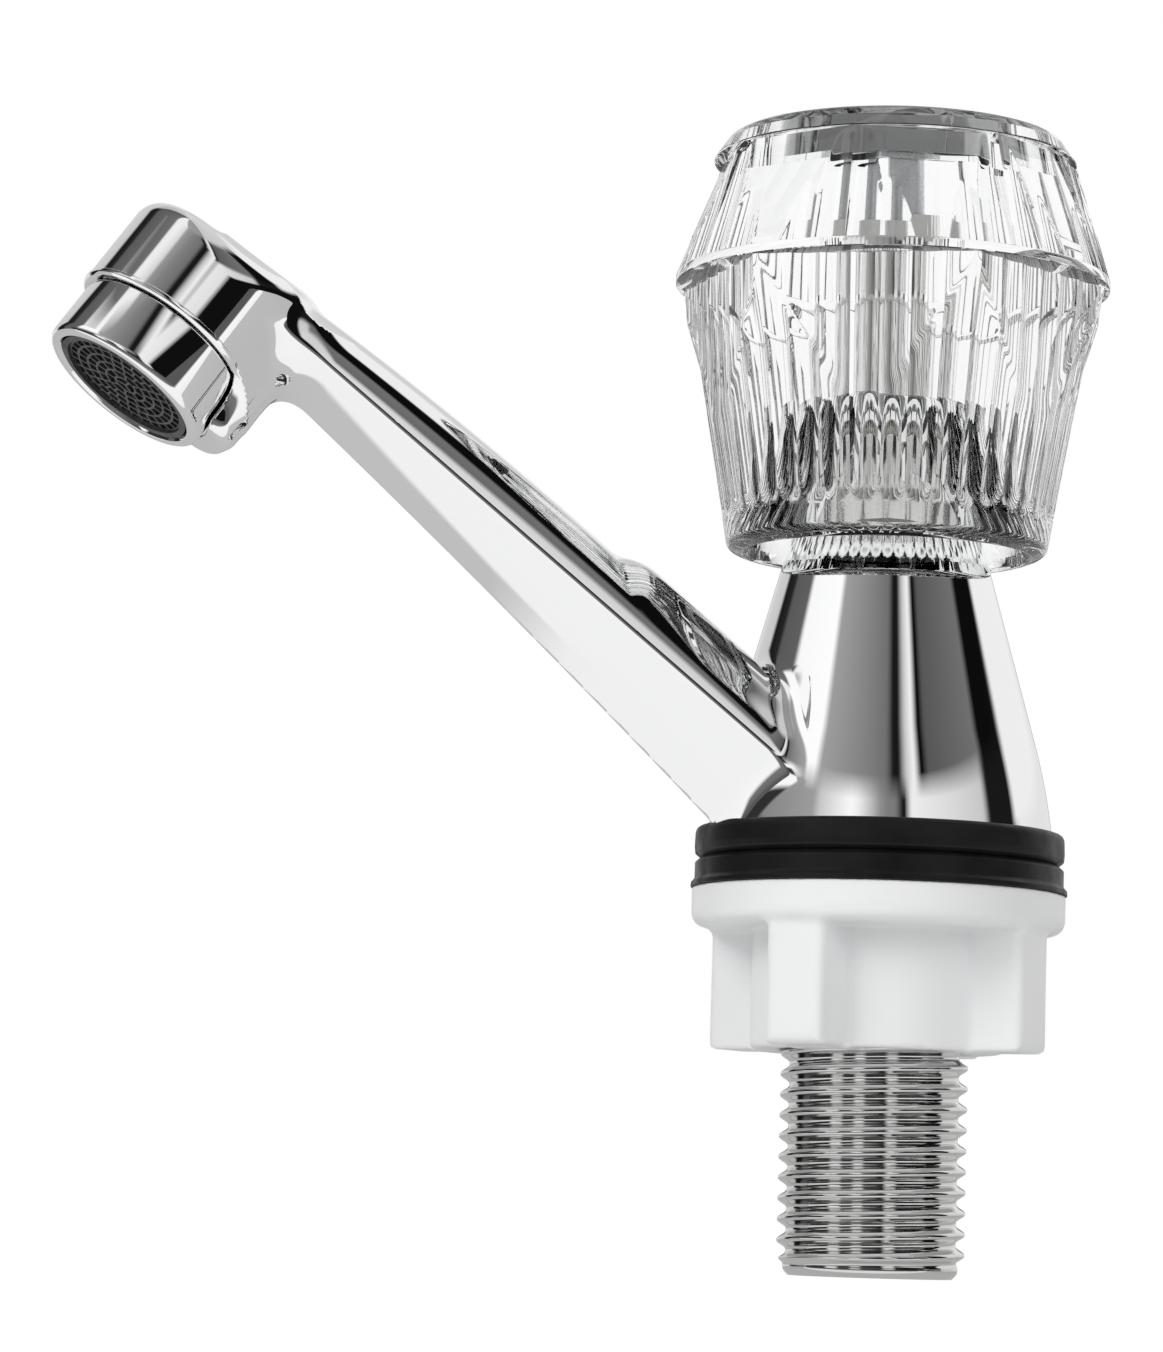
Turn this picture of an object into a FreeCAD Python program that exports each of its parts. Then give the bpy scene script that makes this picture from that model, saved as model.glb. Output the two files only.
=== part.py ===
import FreeCAD, Part
import math
import os

# Basin tap with a clear fluted knob. Millimetres, +Z up, origin on the tail's axis at the deck plane
# between the two gaskets. The spout points along -Y and rises towards its outlet.

V = FreeCAD.Vector
Z_AXIS = V(0, 0, 1)
os.makedirs("parts", exist_ok=True)

# Clearances
FIT = 0.05
RUN = 0.06
THREAD_PLAY = 0.12
SLIP = 0.32

# Threaded tail
TAIL_R = 10.478
THREAD_PITCH = 2.309
THREAD_DEPTH = 1.0
TAIL_END_Z = -46.3
TAIL_CHAMFER = 1.5
TAIL_THREAD_TOP_Z = 2.3
TAIL_BORE_R = 6.5
TAIL_SOCKET_R = 9.3
TAIL_TOP_Z = 8.6
TAIL_SEAL_T = 1.4

# Gaskets and lock nut
UPPER_GASKET_T = 3.6
LOWER_GASKET_T = 3.3
GASKET_R = 20.75
GASKET_LIP_R = GASKET_R + 0.45
NUT_FLANGE_R = 21.0
NUT_FLANGE_Z = -7.7
NUT_HUB_R = 15.2
NUT_BOTTOM_Z = -21.2
NUT_LUG_R = 19.8
NUT_LUG_T = 7.8
NUT_LUG_AZIMUTH = -55.2

# Conical body
CONE_TOP_Z = 39.0
CONE_TOP_R = 10.24
CONE_KNEE_Z = 13.9
CONE_KNEE_R = 17.23
CONE_BULGE_Z = 8.2
CONE_BULGE_R = 18.53
CONE_FOOT_R = 19.3

# Valve chamber
WEB_BOTTOM_Z = TAIL_TOP_Z + TAIL_SEAL_T
WEB_T = 3.0
CHAMBER_R = 9.5
CHAMBER_TOP_Z = 27.0
SEAT_R = 6.2
SEAT_BORE_R = 4.75
SEAT_RISE = 2.0
SEAT_TOP_Z = WEB_BOTTOM_Z + WEB_T + SEAT_RISE

# Headwork
HEAD_THREAD_R = 8.0
HEAD_BOTTOM_Z = CHAMBER_TOP_Z - 1.0
HEAD_WASHER_T = 1.0
HEAD_HEX = 17.0
HEAD_HEX_T = 5.0
HEAD_NECK_R = 6.6
HEAD_TOP_Z = 50.0
KNOB_GAP = 2.0
HEAD_STEP_Z = 41.0

# Valve and spindle
WASHER_R = 6.6
WASHER_T = 3.0
PLATE_R = 7.4
PLATE_T = 2.5
JUMPER_STEM_R = 2.5
JUMPER_STEM_L = 6.5
JUMPER_STUD_R = 1.5
JUMPER_STUD_L = 5.6
JUMPER_NUT_HEX = 5.5
JUMPER_NUT_T = 2.2
SPINDLE_THREAD_R = 5.0
SPINDLE_SHOULDER_Z = 36.5
SPINDLE_R = 3.9
SPINDLE_SPLINE_Z = HEAD_TOP_Z + KNOB_GAP / 2
SPINDLE_GRIP = 16.0
SPINDLE_TOP_Z = SPINDLE_SPLINE_Z + SPINDLE_GRIP
SPLINE_TEETH = 20
SPLINE_DEPTH = 0.45
RING_SECTION_R = 0.45
RING_HEIGHTS = (HEAD_STEP_Z + 1.4, HEAD_STEP_Z + 3.7)

# Knob
KNOB_TOP_Z = 82.7
KNOB_RIM_R = 19.07
KNOB_SHOULDER_Z = 80.2
KNOB_SHOULDER_R = 20.78
GIRDLE_Z = 66.8
GIRDLE_R = 24.76
GIRDLE_T = 1.1
SKIRT_KNEE_Z = 56.3
SKIRT_KNEE_R = 21.8
SKIRT_LOW_Z = 37.9
SKIRT_LOW_R = 18.55
KNOB_LIP_Z = 36.0
KNOB_LIP_R = SKIRT_LOW_R - 1.99
CAVITY_MOUTH_Z = 33.2
CAVITY_MOUTH_R = 12.5
CAVITY_TOP_Z = HEAD_TOP_Z + KNOB_GAP
CAVITY_TOP_R = 11.3
CROWN_FACETS = 8
CROWN_AZIMUTH = -17.6
CROWN_WINDOW_END = 4.5
CROWN_TRIANGLE_BASE = 18.0
SKIRT_FACETS = 6
SKIRT_AZIMUTH = CROWN_AZIMUTH - 18.0
SKIRT_APEX_Z = 49.5
FLUTES = 40
FLUTE_R = 2.4
FLUTE_DEPTH = 0.42
FLUTE_TOP_Z = 62.0
FLUTE_END_Z = 40.0

# Knob fittings
CAP_R = KNOB_RIM_R - 0.77
CAP_T = 1.2
CAP_SKIRT_R = 13.0
CAP_SKIRT_T = 0.8
CAP_SKIRT_Z = KNOB_TOP_Z - 5.4
RECESS_Z = KNOB_TOP_Z - 6.3
INSERT_R = 5.6
INSERT_TOP_Z = SPINDLE_TOP_Z + 2.5
SCREW_SLEEVE_R = 3.0
SCREW_THREAD_R = 2.0
SCREW_END_Z = SPINDLE_TOP_Z - 8.0
SCREW_HEAD_R = 4.6
SCREW_HEAD_T = 2.2
SCREW_WASHER_R = 5.7
SCREW_WASHER_T = 0.8

# Spout, in its own frame: distance along the ridge line, height square to it
SPOUT_ANGLE = 35.6
SPOUT_Z = -2.4
KEEL_HALF = 2.5
KEEL_DEPTH = 1.4
STATIONS = (
    (20, 8.8, 6.5, 6.0), (32, 8.5, 7.3, 5.1), (44, 8.2, 7.8, 4.35), (56, 7.9, 7.85, 3.65),
    (68, 7.6, 7.55, 3.0), (80, 7.3, 6.9, 2.5), (92, 7.0, 5.8, 2.0), (104, 6.65, 4.4, 1.6),
)
ROOT = (4, 9.2, 5.6, 7.3)
PAD_END = 35.0
PAD_HALF = 5.5
PAD_RISE = 1.2
WATER_START = 33.0
WATER_START_V = 0.8
WATER_END_V = 1.2
WATER_R = 3.6
WATER_END_R = 3.0

# Outlet, along an axis square to the ridge line
OUTLET_S = 102.0
COLLAR_R = 10.3
COLLAR_TOP_V = 6.0
ARCH_HALF = COLLAR_R + 0.05
ARCH_RISE = 5.6
ARCH_FALL = 9.0
COLLAR_SEAM_V = -7.5
COLLAR_BORE_TOP_V = -0.6
HOUSING_R = 9.55
HOUSING_END_V = -14.8
HOUSING_THREAD_R = 8.9
HOUSING_TOP_V = -2.1
INSERT_OUT_R = HOUSING_R - 1.57
INSERT_IN_R = 7.3
INSERT_END_V = -14.5
INSERT_TOP_V = -3.0
OUTLET_CHAMBER_R = 6.0
OUTLET_CHAMBER_V = 2.0
GRID_ROWS = ((1.3, 3), (2.5, 8), (3.7, 14), (4.9, 20), (6.1, 26), (7.25, 30))
GRID_BAR = 0.28
GRID_V = -14.2
GRID_T = 1.0
SCREEN_V = -9.2
SCREEN_T = 0.4
SCREEN_STEP = 1.2
SCREEN_ROWS = ((1.4, 6), (2.8, 12), (4.2, 18), (5.6, 24))
JET_V = -5.2
JET_T = 1.0
LEDGE_T = 0.6
CHIN_REACH = 12.9
CHIN_HALF = 4.8
CHIN_END_V = -13.2


def export(shape, name):
    shape = shape.removeSplitter()
    if shape.ShapeType == "Compound" and len(shape.Solids) == 1:
        shape = shape.Solids[0]
    print(name, shape.ShapeType, len(shape.Solids), shape.isValid(), round(shape.Volume, 1))
    shape.exportStep("parts/" + name + ".step")
    return shape


def rod(r, z0, z1):
    return Part.makeCylinder(r, z1 - z0, V(0, 0, z0))


def tube(r_out, r_in, z0, z1):
    return rod(r_out, z0, z1).cut(rod(r_in, z0 - 1, z1 + 1))


def turned(points):
    """Solid of revolution about Z from (radius, height) corners."""
    corners = [V(r, 0, z) for r, z in points]
    face = Part.Face(Part.makePolygon(corners + corners[:1]))
    return face.revolve(V(0, 0, 0), Z_AXIS, 360)


def hexagon(flats, z0, z1):
    r = flats / math.sqrt(3)
    turns = [math.radians(60 * k) for k in range(7)]
    corners = [V(r * math.cos(turn), r * math.sin(turn), z0) for turn in turns]
    return Part.Face(Part.makePolygon(corners)).extrude(V(0, 0, z1 - z0))


def circular(shape, count, start=0.0):
    """Copies of a shape at even steps about Z."""
    copies = []
    for k in range(count):
        copy = shape.copy()
        copy.rotate(V(0, 0, 0), Z_AXIS, start + 360.0 * k / count)
        copies.append(copy)
    return copies


def edges_at(shape, z, r=None, tolerance=0.01):
    """Circular edges at a height, and of a radius where one is given."""
    found = []
    for edge in shape.Edges:
        flat = abs(edge.BoundBox.ZMin - z) < tolerance and abs(edge.BoundBox.ZMax - z) < tolerance
        if flat and isinstance(edge.Curve, Part.Circle):
            if r is None or abs(edge.Curve.Radius - r) < tolerance:
                found.append(edge)
    return found


# Threads
def threaded_rod(r, z0, z1, chamfer_low, chamfer_high=0.0):
    """Rod with a rounded right-hand thread, its ends chamfered."""
    root = r - THREAD_DEPTH
    start = z0 - THREAD_PITCH
    length = z1 - z0 + 2 * THREAD_PITCH
    helix = Part.makeHelix(THREAD_PITCH, length, root)
    helix.translate(V(0, 0, start))
    base = 0.46 * THREAD_PITCH
    crest = 0.14 * THREAD_PITCH
    inner = root - 0.25
    low = V(inner, 0, start - base)
    shoulder_low = V(r - 0.12, 0, start - crest)
    top = V(r, 0, start)
    shoulder_high = V(r - 0.12, 0, start + crest)
    high = V(inner, 0, start + base)
    outline = Part.Wire([
        Part.makeLine(low, shoulder_low),
        Part.Arc(shoulder_low, top, shoulder_high).toShape(),
        Part.makeLine(shoulder_high, high),
        Part.makeLine(high, low),
    ])
    sweep = Part.BRepOffsetAPI.MakePipeShell(Part.Wire(helix))
    sweep.setFrenetMode(True)
    sweep.add(outline)
    sweep.build()
    sweep.makeSolid()
    ridge = sweep.shape()
    envelope = turned([
        (0, z0), (r - chamfer_low, z0), (r + 0.001, z0 + chamfer_low),
        (r + 0.001, z1 - chamfer_high), (r + 0.001 - chamfer_high, z1), (0, z1),
    ])
    return rod(root, start - 2, start + length + 2).fuse(ridge).common(envelope)


def threaded_tail():
    """Tail with the coarse pipe thread, a plain socket end and the inlet bore."""
    thread = threaded_rod(TAIL_R, TAIL_END_Z, TAIL_THREAD_TOP_Z, TAIL_CHAMFER, THREAD_DEPTH)
    neck = rod(TAIL_SOCKET_R, TAIL_THREAD_TOP_Z - 0.5, TAIL_TOP_Z)
    bore = rod(TAIL_BORE_R, TAIL_END_Z - 1, TAIL_TOP_Z + 1)
    return thread.fuse(neck).cut(bore)


def tail_seal():
    return tube(TAIL_SOCKET_R - 0.2, TAIL_BORE_R + 0.3, TAIL_TOP_Z, WEB_BOTTOM_Z)


# Gaskets and lock nut
def upper_gasket():
    bore = TAIL_R + SLIP
    ring = tube(GASKET_R, bore, 0, UPPER_GASKET_T)
    return ring.makeFillet(1.0, edges_at(ring, UPPER_GASKET_T, GASKET_R))


def lower_gasket():
    bore = TAIL_R + SLIP
    return turned([
        (bore, 0), (GASKET_R - 0.5, 0), (GASKET_R, -0.5), (GASKET_R, -LOWER_GASKET_T + 0.9),
        (GASKET_LIP_R, -LOWER_GASKET_T + 0.4), (GASKET_LIP_R, -LOWER_GASKET_T), (bore, -LOWER_GASKET_T),
    ])


def lock_nut():
    """Flanged nut with four lugs, threaded to run on the tail."""
    top = -LOWER_GASKET_T
    flange = rod(NUT_FLANGE_R, NUT_FLANGE_Z, top)
    flange = flange.makeFillet(1.3, edges_at(flange, NUT_FLANGE_Z))
    lug = Part.makeBox(NUT_LUG_R, NUT_LUG_T, top - 1 - NUT_BOTTOM_Z, V(0, -NUT_LUG_T / 2, NUT_BOTTOM_Z))
    outer = [e for e in lug.Edges if e.BoundBox.XMin > NUT_LUG_R - 0.01 and e.BoundBox.ZLength > 1]
    lug = lug.makeFillet(1.0, outer)
    nut = flange.fuse([rod(NUT_HUB_R, NUT_BOTTOM_Z, top)] + circular(lug, 4, NUT_LUG_AZIMUTH))
    screw = threaded_rod(TAIL_R + THREAD_PLAY, TAIL_END_Z, TAIL_THREAD_TOP_Z, 0.0)
    return nut.cut(screw)


# Spout sections in a frame whose -Y runs along the ridge line and +Z square to it
def spout_wire(s, half, rise, depth):
    crown = Part.Ellipse(V(0, -s, 0), half, min(rise, half - 0.01))
    crown.transform(FreeCAD.Placement(V(0, -s, 0), FreeCAD.Rotation(V(1, 0, 0), 90), V(0, 0, 0)).toMatrix()
                    .multiply(FreeCAD.Placement(V(0, s, 0), FreeCAD.Rotation()).toMatrix()))
    right = V(half, -s, 0)
    left = V(-half, -s, 0)
    crease_right = V(KEEL_HALF, -s, -depth)
    crease_left = V(-KEEL_HALF, -s, -depth)
    arch = crown.toShape(0, math.pi)
    return Part.Wire([
        arch,
        Part.makeLine(left, crease_left),
        Part.Arc(crease_left, V(0, -s, -depth - KEEL_DEPTH), crease_right).toShape(),
        Part.makeLine(crease_right, right),
    ])


def tip(shape):
    """Carry a shape from the spout's own frame to the tap's frame."""
    shape.rotate(V(0, 0, 0), V(1, 0, 0), -SPOUT_ANGLE)
    shape.translate(V(0, 0, SPOUT_Z))
    return shape


def outlet_rod(r, v0, v1):
    return Part.makeCylinder(r, v1 - v0, V(0, -OUTLET_S, v0))


def outlet_tube(r_out, r_in, v0, v1):
    return outlet_rod(r_out, v0, v1).cut(outlet_rod(r_in, v0 - 1, v1 + 1))


def spout_beam():
    wires = [spout_wire(*station) for station in STATIONS]
    return Part.makeLoft([spout_wire(*ROOT)] + wires, True, False)


def spout_pad():
    """Low round-nosed pad on the crown next to the cone."""
    outline = Part.makeCylinder(PAD_HALF, 30, V(0, -PAD_END + PAD_HALF, 0))
    block = Part.makeBox(2 * PAD_HALF, PAD_END - PAD_HALF, 30, V(-PAD_HALF, -PAD_END + PAD_HALF, 0))
    below = (ROOT,) + STATIONS[:3]
    raised = [(s, half + PAD_RISE / 2, rise + PAD_RISE, depth) for s, half, rise, depth in below]
    shell = Part.makeLoft([spout_wire(*station) for station in raised], True, False)
    return outline.fuse(block).common(shell)


def collar():
    """Round collar capped by an arch that falls towards the front."""
    body = outlet_rod(COLLAR_R, COLLAR_SEAM_V, COLLAR_TOP_V)
    arch = Part.Face(Part.Wire(Part.Ellipse(V(0, 0, 0), ARCH_HALF, ARCH_RISE).toShape()))
    arch.rotate(V(0, 0, 0), V(1, 0, 0), 90)
    arch.translate(V(0, -OUTLET_S + 2 * COLLAR_R, 0))
    length = 4 * COLLAR_R
    cap = arch.extrude(V(0, -length, -length * math.tan(math.radians(ARCH_FALL))))
    return body.common(cap).fuse(outlet_rod(COLLAR_R, COLLAR_SEAM_V, 0))


def chin():
    """Keel that turns down behind the outlet, rounded at its end."""
    back = -(OUTLET_S - CHIN_REACH)
    corner = V(-CHIN_HALF, back - CHIN_REACH, CHIN_END_V)
    block = Part.makeBox(2 * CHIN_HALF, CHIN_REACH, -CHIN_END_V, corner)
    rear = [e for e in block.Edges if e.BoundBox.YMin > back - 0.01 and e.BoundBox.ZLength > 1]
    block = block.makeFillet(3.6, rear)
    low = [e for e in block.Edges if e.BoundBox.ZMax < CHIN_END_V + 0.01 and e.BoundBox.YMin > back - 5]
    block = block.makeFillet(1.2, low)
    return block.cut(outlet_rod(HOUSING_R + SLIP, CHIN_END_V - 2, COLLAR_SEAM_V))


def waterway():
    """Cross drilling from the chamber, an elbow and the long drilling to the outlet."""
    start = V(0, -WATER_START, WATER_START_V)
    along = V(0, -OUTLET_S, WATER_END_V).sub(start)
    drilling = Part.makeCone(WATER_R, WATER_END_R, along.Length, start, along)
    elbow = tip(Part.makeSphere(WATER_R, start).fuse(drilling))
    centre = FreeCAD.Rotation(V(1, 0, 0), -SPOUT_ANGLE).multVec(start).add(V(0, 0, SPOUT_Z))
    cross = Part.makeCylinder(WATER_R, -centre.y, V(0, 0, centre.z), V(0, -1, 0))
    return elbow.fuse(cross)


def cone_body():
    corner = V(0, 0, UPPER_GASKET_T)
    foot = V(CONE_FOOT_R, 0, UPPER_GASKET_T)
    bulge = V(CONE_BULGE_R, 0, CONE_BULGE_Z)
    knee = V(CONE_KNEE_R, 0, CONE_KNEE_Z)
    rim = V(CONE_TOP_R, 0, CONE_TOP_Z)
    top = V(0, 0, CONE_TOP_Z)
    outline = Part.Wire([
        Part.makeLine(corner, foot),
        Part.Arc(foot, bulge, knee).toShape(),
        Part.makeLine(knee, rim),
        Part.makeLine(rim, top),
        Part.makeLine(top, corner),
    ])
    return Part.Face(outline).revolve(V(0, 0, 0), Z_AXIS, 360)


def body_casting():
    """One hollow casting: cone, spout, outlet collar and chin."""
    above_foot = Part.makeBox(80, 200, 120, V(-40, -160, UPPER_GASKET_T))
    outside = tip(spout_beam().fuse([spout_pad(), collar(), chin()])).common(above_foot)
    outside = outside.fuse(cone_body())
    web_top = WEB_BOTTOM_Z + WEB_T
    holes = [
        rod(TAIL_SOCKET_R + FIT, -5, WEB_BOTTOM_Z),
        rod(TAIL_R + SLIP, -5, UPPER_GASKET_T + 0.4),
        rod(SEAT_R + FIT, -5, web_top + 1),
        rod(CHAMBER_R, web_top, CHAMBER_TOP_Z),
        rod(HEAD_THREAD_R + FIT, CHAMBER_TOP_Z - 1, CONE_TOP_Z + 5),
        waterway(),
        tip(outlet_rod(HOUSING_THREAD_R + FIT, COLLAR_SEAM_V - 9, COLLAR_BORE_TOP_V)),
        tip(outlet_rod(OUTLET_CHAMBER_R, COLLAR_BORE_TOP_V - 1, OUTLET_CHAMBER_V)),
    ]
    return outside.cut(holes)


# Valve
def valve_seat():
    web_top = WEB_BOTTOM_Z + WEB_T
    return turned([
        (SEAT_BORE_R, WEB_BOTTOM_Z - 0.6), (SEAT_R, WEB_BOTTOM_Z - 0.6), (SEAT_R, web_top),
        (SEAT_R + 1.2, web_top), (SEAT_R + 1.2, web_top + 1), (SEAT_BORE_R + 1.1, web_top + 1),
        (SEAT_BORE_R + 0.7, SEAT_TOP_Z), (SEAT_BORE_R + 0.3, SEAT_TOP_Z), (SEAT_BORE_R, SEAT_TOP_Z - 0.4),
    ])


def headwork_body():
    """Brass bonnet screwed into the cone, with hexagon, neck and spindle bores."""
    hex_z = CONE_TOP_Z + HEAD_WASHER_T
    body = rod(HEAD_THREAD_R, HEAD_BOTTOM_Z, hex_z)
    flats = hexagon(HEAD_HEX, hex_z, hex_z + HEAD_HEX_T)
    dome = Part.makeCone(HEAD_HEX / 2 + 6, HEAD_HEX / 2, 6, V(0, 0, hex_z + HEAD_HEX_T - 5.4))
    body = body.fuse([flats.common(dome), rod(HEAD_NECK_R, hex_z, HEAD_TOP_Z)])
    return body.cut([
        rod(SPINDLE_THREAD_R + RUN, HEAD_BOTTOM_Z - 1, HEAD_STEP_Z),
        rod(SPINDLE_R + RUN, HEAD_STEP_Z - 1, HEAD_TOP_Z + 1),
    ])


def headwork_washer():
    return tube(CONE_TOP_R - 0.3, HEAD_THREAD_R + FIT, CONE_TOP_Z, CONE_TOP_Z + HEAD_WASHER_T)


def jumper_valve():
    """Plate with a stem that hangs in the spindle and a stud for the washer."""
    plate_z = SEAT_TOP_Z + WASHER_T
    return rod(PLATE_R, plate_z, plate_z + PLATE_T).fuse([
        rod(JUMPER_STEM_R, plate_z, plate_z + PLATE_T + JUMPER_STEM_L),
        rod(JUMPER_STUD_R, plate_z - JUMPER_STUD_L, plate_z),
    ])


def jumper_washer():
    return tube(WASHER_R, JUMPER_STUD_R + FIT, SEAT_TOP_Z, SEAT_TOP_Z + WASHER_T)


def jumper_nut():
    body = hexagon(JUMPER_NUT_HEX, SEAT_TOP_Z - JUMPER_NUT_T, SEAT_TOP_Z)
    return body.cut(rod(JUMPER_STUD_R + FIT, 0, SEAT_TOP_Z + 1))


def spline(r, z0, z1):
    """Toothed rod, its outline given by a cosine."""
    corners = []
    for k in range(SPLINE_TEETH * 4):
        angle = 2 * math.pi * k / (SPLINE_TEETH * 4)
        reach = r - SPLINE_DEPTH * (0.5 - 0.5 * math.cos(SPLINE_TEETH * angle))
        corners.append(V(reach * math.cos(angle), reach * math.sin(angle), z0))
    return Part.Face(Part.makePolygon(corners + corners[:1])).extrude(V(0, 0, z1 - z0))


def spindle():
    """Threaded spindle, grooved for its rings and splined for the knob."""
    bottom = SEAT_TOP_Z + WASHER_T + PLATE_T
    body = rod(SPINDLE_THREAD_R, bottom, SPINDLE_SHOULDER_Z)
    body = body.fuse([
        rod(SPINDLE_R, SPINDLE_SHOULDER_Z - 1, SPINDLE_SPLINE_Z),
        spline(SPINDLE_R, SPINDLE_SPLINE_Z - 1, SPINDLE_TOP_Z),
    ])
    groove_r = SPINDLE_R - 2 * RING_SECTION_R + 0.02
    groove_half = RING_SECTION_R + 0.1
    grooves = [tube(SPINDLE_R + 1, groove_r, z - groove_half, z + groove_half) for z in RING_HEIGHTS]
    socket = rod(JUMPER_STEM_R + RUN, bottom - 1, bottom + JUMPER_STEM_L + 0.5)
    screw_hole = rod(SCREW_THREAD_R + FIT, SCREW_END_Z - 1.5, SPINDLE_TOP_Z + 1)
    return body.cut(grooves + [socket, screw_hole])


def spindle_rings():
    centre_r = SPINDLE_R - RING_SECTION_R + 0.03
    rings = [Part.makeTorus(centre_r, RING_SECTION_R, V(0, 0, z)) for z in RING_HEIGHTS]
    return Part.makeCompound(rings)


# Knob
def facet_tool(azimuth, r_high, z_high, r_low, z_low):
    """Wedge beyond a sloping plane that faces outwards at an azimuth."""
    reach = 30
    beyond = r_low + reach
    outline = [V(r_low, 0, z_low), V(beyond, 0, z_low), V(beyond, 0, z_high), V(r_high, 0, z_high)]
    wedge = Part.Face(Part.makePolygon(outline + outline[:1])).extrude(V(0, 60, 0))
    wedge.translate(V(0, -30, 0))
    wedge.rotate(V(0, 0, 0), Z_AXIS, azimuth)
    return wedge


def along_line(z, z0, r0, z1, r1):
    return r0 + (z - z0) * (r1 - r0) / (z1 - z0)


def knob():
    """Clear knob: faceted crown, girdle, faceted and fluted skirt, open below."""
    band_z = GIRDLE_Z - GIRDLE_T
    outside = turned([
        (0, CAVITY_MOUTH_Z), (CAVITY_MOUTH_R, CAVITY_MOUTH_Z), (KNOB_LIP_R, KNOB_LIP_Z),
        (KNOB_LIP_R + 1.3, KNOB_LIP_Z + 0.5), (SKIRT_LOW_R, SKIRT_LOW_Z), (SKIRT_KNEE_R, SKIRT_KNEE_Z),
        (GIRDLE_R, band_z), (GIRDLE_R, GIRDLE_Z), (KNOB_SHOULDER_R, KNOB_SHOULDER_Z),
        (KNOB_RIM_R, KNOB_TOP_Z), (0, KNOB_TOP_Z),
    ])
    step = 360.0 / CROWN_FACETS
    half = math.cos(math.radians(step / 2))
    window_low = GIRDLE_R * math.cos(math.radians(CROWN_WINDOW_END))
    window_high = KNOB_SHOULDER_R * half
    triangle_low = GIRDLE_R * math.cos(math.radians(CROWN_TRIANGLE_BASE))
    skirt_half = math.cos(math.pi / SKIRT_FACETS)
    apex_r = along_line(SKIRT_APEX_Z, SKIRT_LOW_Z, SKIRT_LOW_R, SKIRT_KNEE_Z, SKIRT_KNEE_R)
    cuts = []
    for k in range(CROWN_FACETS):
        turn = CROWN_AZIMUTH + k * step
        cuts.append(facet_tool(turn, window_high, KNOB_SHOULDER_Z, window_low, GIRDLE_Z))
        cuts.append(facet_tool(turn + step / 2, KNOB_SHOULDER_R, KNOB_SHOULDER_Z, triangle_low, GIRDLE_Z))
    for k in range(SKIRT_FACETS):
        turn = SKIRT_AZIMUTH + k * 360.0 / SKIRT_FACETS
        cuts.append(facet_tool(turn, GIRDLE_R * skirt_half, band_z, apex_r, SKIRT_APEX_Z))
    slope = V(SKIRT_KNEE_R - SKIRT_LOW_R, 0, SKIRT_KNEE_Z - SKIRT_LOW_Z)
    base_r = along_line(FLUTE_END_Z, SKIRT_LOW_Z, SKIRT_LOW_R, SKIRT_KNEE_Z, SKIRT_KNEE_R)
    flute = Part.makeCylinder(FLUTE_R, FLUTE_TOP_Z - FLUTE_END_Z,
                              V(base_r + FLUTE_R - FLUTE_DEPTH, 0, FLUTE_END_Z), slope)
    cuts += circular(flute, FLUTES, CROWN_AZIMUTH)
    hollow = [
        turned([
            (0, CAVITY_MOUTH_Z - 1), (CAVITY_MOUTH_R, CAVITY_MOUTH_Z - 1),
            (CAVITY_MOUTH_R - 0.1, CAVITY_MOUTH_Z), (CAVITY_TOP_R, CAVITY_TOP_Z), (0, CAVITY_TOP_Z),
        ]),
        rod(INSERT_R + FIT, CAVITY_TOP_Z - 1, INSERT_TOP_Z),
        rod(SCREW_SLEEVE_R + FIT, INSERT_TOP_Z - 1, RECESS_Z + 1),
        rod(CAP_SKIRT_R + FIT, RECESS_Z, KNOB_TOP_Z + 1),
        rod(CAP_R + FIT, KNOB_TOP_Z - CAP_T, KNOB_TOP_Z + 1),
    ]
    return outside.cut(cuts).cut(hollow)


def knob_insert():
    bush = rod(INSERT_R, CAVITY_TOP_Z, INSERT_TOP_Z)
    return bush.cut([
        spline(SPINDLE_R + FIT, CAVITY_TOP_Z - 1, SPINDLE_TOP_Z + 0.2),
        rod(SCREW_THREAD_R + FIT, SPINDLE_TOP_Z - 1, INSERT_TOP_Z + 1),
    ])


def knob_screw_washer():
    return tube(SCREW_WASHER_R, SCREW_THREAD_R + 1.1, RECESS_Z, RECESS_Z + SCREW_WASHER_T)


def knob_screw():
    """Shouldered screw with a crossed pan head."""
    head_z = RECESS_Z + SCREW_WASHER_T
    head = rod(SCREW_HEAD_R, head_z, head_z + SCREW_HEAD_T)
    head = head.makeFillet(0.9, edges_at(head, head_z + SCREW_HEAD_T))
    slot = Part.makeBox(5.2, 1.0, 2, V(-2.6, -0.5, head_z + SCREW_HEAD_T - 1.2))
    sleeve = rod(SCREW_SLEEVE_R, INSERT_TOP_Z, head_z + 0.5)
    body = head.fuse([sleeve, rod(SCREW_THREAD_R, SCREW_END_Z, head_z)])
    return body.cut(circular(slot, 2, 0.0)[:1] + [slot.rotated(V(0, 0, 0), Z_AXIS, 90)])


def knob_cap():
    """Polished disc with a ring that plugs into the knob."""
    disc = rod(CAP_R, KNOB_TOP_Z - CAP_T, KNOB_TOP_Z)
    disc = disc.makeFillet(0.4, edges_at(disc, KNOB_TOP_Z))
    return disc.fuse(tube(CAP_SKIRT_R, CAP_SKIRT_R - CAP_SKIRT_T, CAP_SKIRT_Z, KNOB_TOP_Z - CAP_T))


# Aerator
def aerator_housing():
    shell = outlet_rod(HOUSING_R, HOUSING_END_V, COLLAR_SEAM_V)
    shell = shell.makeFillet(0.9, edges_at(shell, HOUSING_END_V))
    shell = shell.fuse(outlet_rod(HOUSING_THREAD_R, COLLAR_SEAM_V - 1, HOUSING_TOP_V))
    return shell.cut(outlet_rod(INSERT_OUT_R + FIT, HOUSING_END_V - 1, HOUSING_TOP_V + 1))


def aerator_washer():
    return outlet_tube(HOUSING_THREAD_R - 0.1, OUTLET_CHAMBER_R + 0.2, HOUSING_TOP_V, COLLAR_BORE_TOP_V)


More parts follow.
